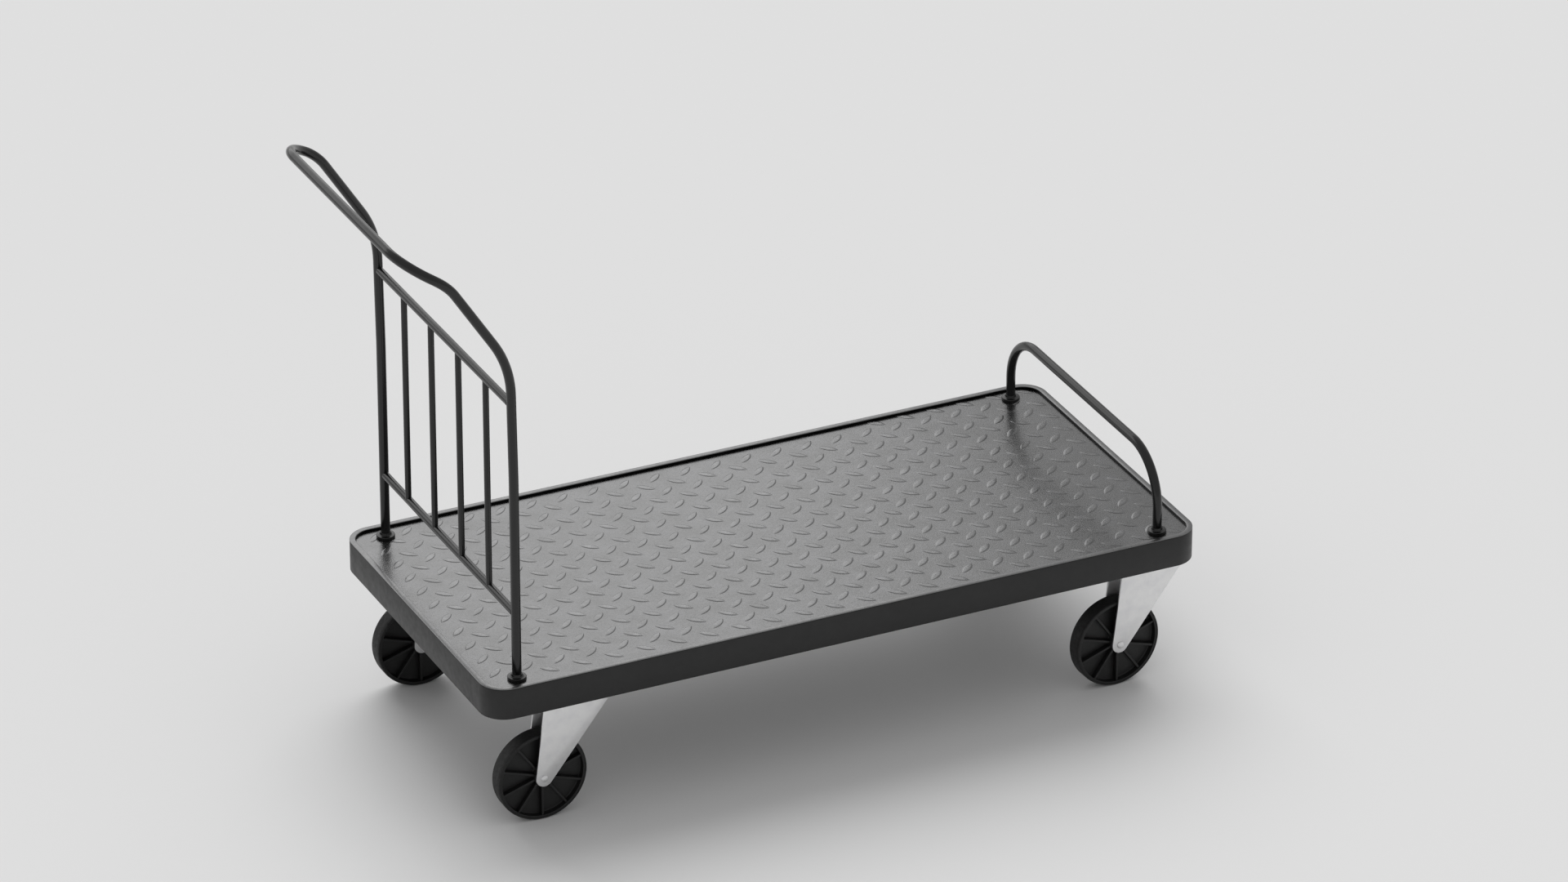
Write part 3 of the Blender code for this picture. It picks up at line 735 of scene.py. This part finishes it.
def rib(number):
    """One rib of the wheel centre, the first of them straight down."""
    length = RIM_INNER - HUB_RADIUS + 2 * RIB_LAP
    build = bmesh.new()
    bmesh.ops.create_cube(build, size=1)
    bmesh.ops.scale(build, verts=build.verts, vec=(RIB_WIDTH, RIB_DEPTH, length))
    bmesh.ops.translate(build, verts=build.verts, vec=(0, 0, -(RIM_INNER + HUB_RADIUS) / 2))
    spokewise = [edge for edge in build.edges if edge.calc_length() > RIB_DEPTH + MM]
    bmesh.ops.bevel(build, geom=spokewise, offset=RIB_EASE, segments=3, profile=0.5, affect="EDGES")
    return placed(mesh_of(build), Matrix.Rotation(2 * math.pi * number / RIB_COUNT, 4, "Y"))


def wheel_centre():
    """Wheel centre about Y: hub, web, rim and ribs, with moulded edges."""
    bore = SLEEVE_RADIUS + CLEARANCE
    hub = HUB_WIDTH / 2
    web = WEB_WIDTH / 2
    rim = RIM_WIDTH / 2
    half = [(bore, hub, 0), (HUB_RADIUS, hub, 0.8 * MM), (HUB_RADIUS, web, 1.2 * MM),
            (RIM_INNER, web, 1.5 * MM), (RIM_INNER, rim, 0.6 * MM), (TYRE_INNER - HAIRLINE, rim, 0)]
    profile = filleted([(radius, -y, ease) for radius, y, ease in half] + half[::-1], 3)
    centre = along_y(turned(profile, 96))
    for number in range(RIB_COUNT):
        centre = carved(centre, rib(number), "UNION")
    centre.shade_smooth()
    centre.set_sharp_from_angle(angle=math.radians(35))
    return centre


def tyre():
    """Tyre about Y, crowned, with round shoulders."""
    half = TYRE_WIDTH / 2
    shoulder = WHEEL_RADIUS - 1 * MM
    side = [(TYRE_INNER, half, 0), (shoulder, half, 1.5 * MM), (WHEEL_RADIUS, half - 4 * MM, 6 * MM)]
    profile = filleted([(radius, -y, ease) for radius, y, ease in side] + side[::-1], 4)
    return along_y(turned(profile, 128))


def race(top):
    """Fixed race about the swivel axis, a pressed cup below the plate."""
    bore = KINGPIN_RADIUS + HAIRLINE
    low = top - RACE_DEPTH
    profile = [(bore, top, 0), (RACE_RADIUS, top, MM), (RACE_RADIUS, top - RACE_EDGE, 1.5 * MM),
               (RACE_RADIUS - 3 * MM, low, MM), (bore, low, 0)]
    return turned(filleted(profile, 4))


def ball_ring(top):
    """The ring of balls between the race and the fork's crown, in one turned outline."""
    bore = KINGPIN_RADIUS + HAIRLINE
    low = CROWN_TOP + CLEARANCE
    waist = BALL_RING_RADIUS - 3 * MM
    profile = [(bore, top, 0), (waist, top, MM), (BALL_RING_RADIUS, (top + low) / 2, 2 * MM),
               (waist, low, MM), (bore, low, 0)]
    return turned(filleted(profile, 4))


def make_casters(metal, plastic, rubber):
    """Four casters, each placed by its joints."""
    joints = {joint["name"]: joint for joint in frame["joints"]}
    meshes = {"fork": fork(), "axle": axle(), "wheel": wheel_centre(), "tyre": tyre()}
    for corner in ("rear_right", "front_right", "rear_left", "front_left"):
        swivel = joints[f"{corner}_swivel"]["pos_m"]
        roll = joints[f"{corner}_roll"]
        turn = math.atan2(-roll["axis"][0], roll["axis"][1])
        face = Matrix.Rotation(turn, 4, "Z")
        on_swivel = at(swivel[0], swivel[1], 0) @ face
        on_axle = Matrix.Translation(roll["pos_m"]) @ face
        caster = f"{corner}_caster"
        roller = f"{corner}_roller"
        race_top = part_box(f"{corner}_plate")[0].z - HAIRLINE
        cup = placed(race(race_top), on_swivel)
        balls = placed(ball_ring(race_top - RACE_DEPTH - CLEARANCE), on_swivel)
        show(f"{corner}_race", cup, metal, "base", "zinc_plate", f"{corner}_swivel_race")
        show(f"{corner}_balls", balls, metal, caster, "zinc_plate", f"{corner}_ball_ring")
        for name, place, material, body, slot in (("fork", on_swivel, metal, caster, "zinc_plate"),
                                                  ("axle", on_axle, metal, caster, "zinc_plate"),
                                                  ("wheel", on_axle, plastic, roller, "wheel_plastic"),
                                                  ("tyre", on_axle, rubber, roller, "tyre_rubber")):
            copy = placed(meshes[name].copy(), place)
            show(f"{corner}_{name}_fine", copy, material, body, slot, f"{corner}_{name}")


def finish_cad_nodes(materials):
    """Give every CAD node that is still shown its procedural material."""
    slots = {part["node"]: part["material_slot"] for part in frame["record"]["subparts"]}
    for name, node in frame["nodes"].items():
        if not node.hide_render:
            node.data.materials.clear()
            node.data.materials.append(materials[slots[name]])


# ---------------------------------------------------------------- studio

def make_camera():
    """A long lens from the front right, above the deck."""
    azimuth = math.radians(-25.5395)
    elevation = math.radians(27.4102)
    distance = 13.2876
    aim_right = 0.01963
    aim_up = 0.14326
    right = Vector((math.cos(azimuth), math.sin(azimuth), 0))
    back = Vector((math.sin(azimuth) * math.cos(elevation), -math.cos(azimuth) * math.cos(elevation),
                   math.sin(elevation)))
    up = back.cross(right)
    aim = DECK_MIDDLE.translation + Vector((0, 0, RIM_TOP)) + aim_right * right + aim_up * up
    data = bpy.data.cameras.new("camera")
    data.lens = 192.92
    data.sensor_width = 36
    data.clip_end = 100
    camera = bpy.data.objects.new("camera", data)
    turn = Matrix((right, up, back)).transposed().to_4x4()
    camera.matrix_world = Matrix.Translation(aim + distance * back) @ turn
    bpy.context.scene.collection.objects.link(camera)
    bpy.context.scene.camera = camera


def area_light(name, place, aim, size, power):
    """A rectangular soft light that points at a spot."""
    data = bpy.data.lights.new(name, "AREA")
    data.shape = "RECTANGLE"
    data.size, data.size_y = size
    data.energy = power
    light = bpy.data.objects.new(name, data)
    direction = Vector(aim) - Vector(place)
    light.matrix_world = Matrix.Translation(place) @ direction.to_track_quat("-Z", "Y").to_matrix().to_4x4()
    bpy.context.scene.collection.objects.link(light)
    return light


def sun_light(name, direction, spread, power):
    """Even light from one side of the sky, as wide as its spread in degrees."""
    data = bpy.data.lights.new(name, "SUN")
    data.energy = power
    data.angle = math.radians(spread)
    light = bpy.data.objects.new(name, data)
    light.matrix_world = Vector(direction).to_track_quat("Z", "Y").to_matrix().to_4x4()
    bpy.context.scene.collection.objects.link(light)
    return light


def make_floor():
    """The pale floor that the cart stands on."""
    build = bmesh.new()
    bmesh.ops.create_grid(build, x_segments=1, y_segments=1, size=60)
    floor = bpy.data.objects.new("studio_floor", mesh_of(build))
    floor.data.materials.append(floor_paint())
    bpy.context.scene.collection.objects.link(floor)


def make_sky():
    """Even white light from all round."""
    world = bpy.data.worlds.new("studio")
    world.use_nodes = True
    sky = world.node_tree.nodes["Background"]
    sky.inputs["Color"].default_value = (1, 1, 1, 1)
    sky.inputs["Strength"].default_value = 0.52
    bpy.context.scene.world = world
    bpy.context.scene.view_settings.view_transform = "Standard"


def make_lights():
    """A broad light from behind for the shadow, and two cards that only show as reflections."""
    key = sun_light("back_light", direction=(0.3, 0.9, 1.0), spread=60, power=1.75)
    key.visible_glossy = False
    card = area_light("back_card", place=(-0.55, 3.85, 2.5), aim=(-0.25, 0, 0.3),
                      size=(6.0, 2.2), power=43)
    softbox = area_light("bar_softbox", place=(0.03, 2.4, 2.54), aim=(-0.58, 0, 0.85),
                         size=(2.0, 1.2), power=190)
    bars = bpy.data.collections.new("bars")
    others = bpy.data.collections.new("others")
    for piece in bpy.context.scene.objects:
        if piece.type == "MESH" and piece.active_material.name != "bar_paint":
            others.objects.link(piece)
        elif piece.name.startswith(("push_handle", "crossbar")):
            bars.objects.link(piece)
    for light, lit in ((card, others), (softbox, bars)):
        light.visible_diffuse = False
        light.visible_camera = False
        light.light_linking.receiver_collection = lit


def main():
    tread = tread_steel()
    edge = edge_steel()
    charcoal = skirt_paint()
    black = bar_paint()
    metal = zinc()
    plastic = moulded_plastic()
    rubber = tyre_rubber()
    make_deck(tread, edge, charcoal)
    make_handle(black)
    make_low_rail(black)
    make_collars(black)
    make_casters(metal, plastic, rubber)
    finish_cad_nodes({"tread_metal": tread, "edge_metal": edge, "skirt_paint": charcoal, "bar_paint": black,
                      "zinc_plate": metal, "wheel_plastic": plastic, "tyre_rubber": rubber})
    make_floor()
    make_sky()
    make_lights()
    make_camera()


main()
